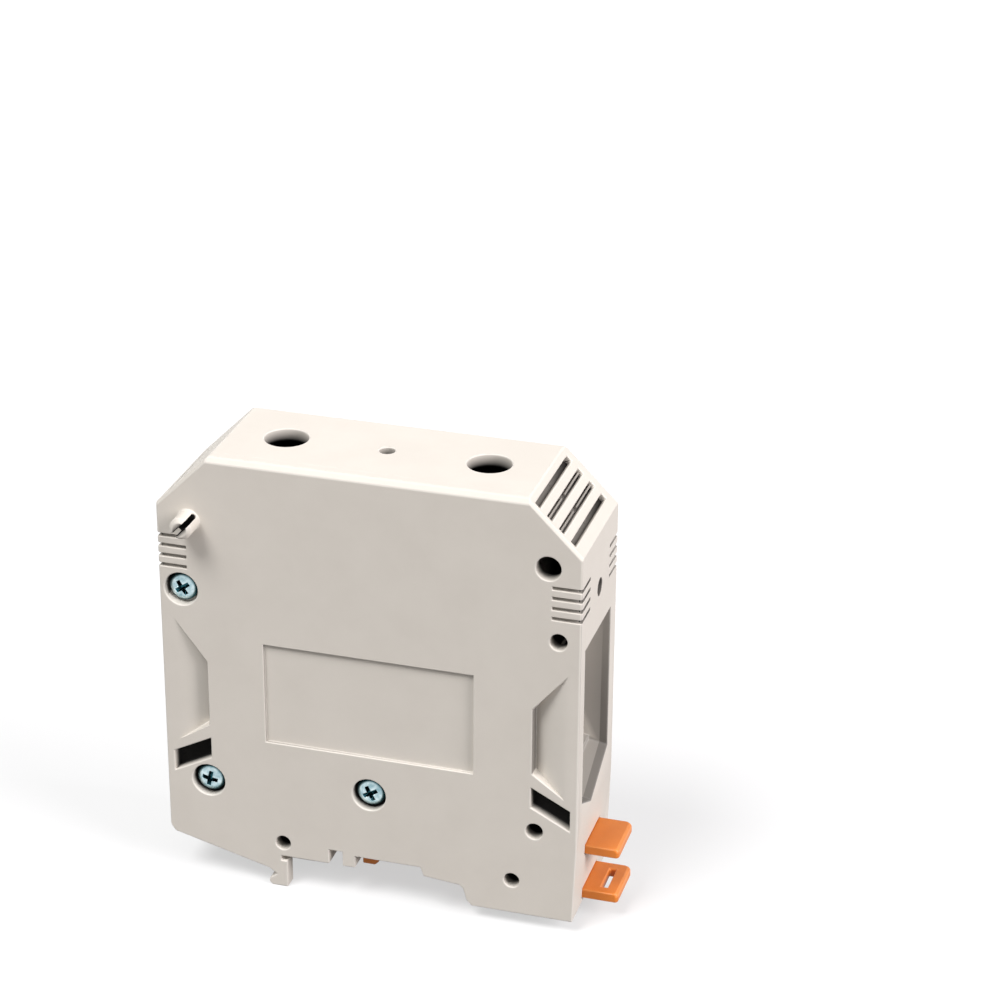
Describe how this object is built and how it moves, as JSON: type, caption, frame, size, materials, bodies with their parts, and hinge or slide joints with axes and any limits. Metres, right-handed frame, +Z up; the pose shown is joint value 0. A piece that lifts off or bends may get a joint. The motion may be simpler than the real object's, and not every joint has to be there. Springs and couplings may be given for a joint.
{
  "type": "feed-through terminal block",
  "caption": "Rail-mounted feed-through terminal block: grey screwed case with chamfered shoulders, cable funnels at both ends, screw clamps on a current bar and orange rail latches.",
  "frame": {"origin": "middle of the rail seat: the plane that rests on the rail, at half the block's thickness and half its length", "axes": "+X along the conductor towards the latch tabs, +Y through the thickness away from the screwed cover, +Z up away from the rail"},
  "size_m": [0.1059, 0.0418, 0.1076],
  "materials": {
    "case_plastic": "fine satin moulded polyamide, warm light grey",
    "latch_plastic": "satin moulded plastic, orange",
    "zinc_screw": "bright blue-white zinc plate",
    "zinc_strip": "zinc-plated bent strip",
    "clamp_steel": "machined and plated steel",
    "spring_steel": "rolled spring strip",
    "bar_copper": "bright drawn copper"
  },
  "bodies": {
    "case": {"housing": "case_plastic", "front_cover": "case_plastic", "cover_screw_upper": "zinc_screw", "cover_screw_lower": "zinc_screw", "cover_screw_middle": "zinc_screw", "rear_screw_upper": "zinc_screw", "rear_screw_lower": "zinc_screw", "current_bar": "bar_copper", "thrust_washer_left": "zinc_strip", "thrust_washer_right": "zinc_strip", "rail_latch_spring": "spring_steel", "upper_latch_spring": "spring_steel"},
    "left_screw": {"clamp_screw_left": "clamp_steel"},
    "right_screw": {"clamp_screw_right": "clamp_steel"},
    "left_clamp": {"clamp_loop_left": "zinc_strip", "tapped_block_left": "clamp_steel"},
    "right_clamp": {"clamp_loop_right": "zinc_strip", "tapped_block_right": "clamp_steel"},
    "rail_latch": {"rail_latch": "latch_plastic"},
    "upper_latch": {"upper_latch": "latch_plastic"}
  },
  "joints": [
    {"name": "left_screw_turn", "type": "hinge", "parent": "case", "child": "left_screw", "pos_m": [-0.0236, 0.00025, 0.0914], "axis": [0, 0, -1], "range_deg": [0, 2880.5]},
    {"name": "left_clamp_rise", "type": "slide", "parent": "case", "child": "left_clamp", "axis": [0, 0, 1], "range_m": [0, 0.012]},
    {"name": "right_screw_turn", "type": "hinge", "parent": "case", "child": "right_screw", "pos_m": [0.0236, 0.00025, 0.0914], "axis": [0, 0, -1], "range_deg": [0, 2880.5]},
    {"name": "right_clamp_rise", "type": "slide", "parent": "case", "child": "right_clamp", "axis": [0, 0, 1], "range_m": [0, 0.012]},
    {"name": "rail_latch_pull", "type": "slide", "parent": "case", "child": "rail_latch", "axis": [1, 0, 0], "range_m": [0, 0.004], "stiffness_N_per_m": 500, "springref_m": -0.003},
    {"name": "upper_latch_pull", "type": "slide", "parent": "case", "child": "upper_latch", "axis": [1, 0, 0], "range_m": [0, 0.004], "stiffness_N_per_m": 500, "springref_m": -0.003}
  ],
  "couplings": [
    {"joint": "left_screw_turn", "follows": "left_clamp_rise", "rad_per_m": 4188.8},
    {"joint": "right_screw_turn", "follows": "right_clamp_rise", "rad_per_m": 4188.8}
  ]
}
